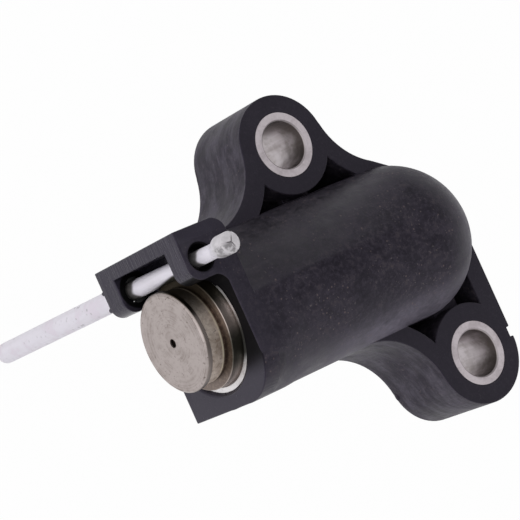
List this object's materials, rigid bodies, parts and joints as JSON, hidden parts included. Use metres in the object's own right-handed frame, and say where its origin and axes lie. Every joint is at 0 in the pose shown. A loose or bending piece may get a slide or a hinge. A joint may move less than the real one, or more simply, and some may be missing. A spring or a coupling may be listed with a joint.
{
  "type": "timing chain tensioner",
  "caption": "Moulded hydraulic chain tensioner: domed barrel, bolt ears with steel sleeves, sprung steel plunger and a pull-out lock pin in a side bracket.",
  "frame": {"origin": "midway between the two bolt axes, on the mounting face", "axes": "+Z the way the bolts leave, +X the way the plunger moves out, +Y towards the lower ear"},
  "size_m": [0.051, 0.0505, 0.0634],
  "materials": {
    "housing_plastic": "glass-filled nylon, fine grain",
    "liner_steel": "bright turned",
    "plunger_steel": "turned and heat treated, brownish sides",
    "spring_steel": "drawn wire",
    "valve_steel": "pressed steel",
    "ball_steel": "polished",
    "sleeve_steel": "rolled, matt grey",
    "pin_plastic": "natural nylon, slightly milky"
  },
  "bodies": {
    "housing_body": {"housing": "housing_plastic", "cylinder_liner": "liner_steel", "main_spring": "spring_steel", "valve_seat": "valve_steel", "valve_spring": "spring_steel", "valve_cage": "valve_steel", "upper_sleeve": "sleeve_steel", "lower_sleeve": "sleeve_steel"},
    "plunger_body": {"plunger": "plunger_steel"},
    "ball_body": {"check_ball": "ball_steel"},
    "pin_body": {"lock_pin": "pin_plastic"}
  },
  "joints": [
    {"name": "plunger_slide", "type": "slide", "parent": "housing_body", "child": "plunger_body", "axis": [1, 0, 0], "range_m": [-0.003, 0], "stiffness_N_per_m": 100, "springref_m": 0.0005, "deforming": ["main_spring"]},
    {"name": "ball_lift", "type": "slide", "parent": "housing_body", "child": "ball_body", "axis": [1, 0, 0], "range_m": [0, 0.0008], "stiffness_N_per_m": 2, "springref_m": -0.0002, "deforming": ["valve_spring"]},
    {"name": "pin_pull", "type": "slide", "parent": "housing_body", "child": "pin_body", "axis": [0, -0.007, -1], "range_m": [0, 0.031]}
  ]
}
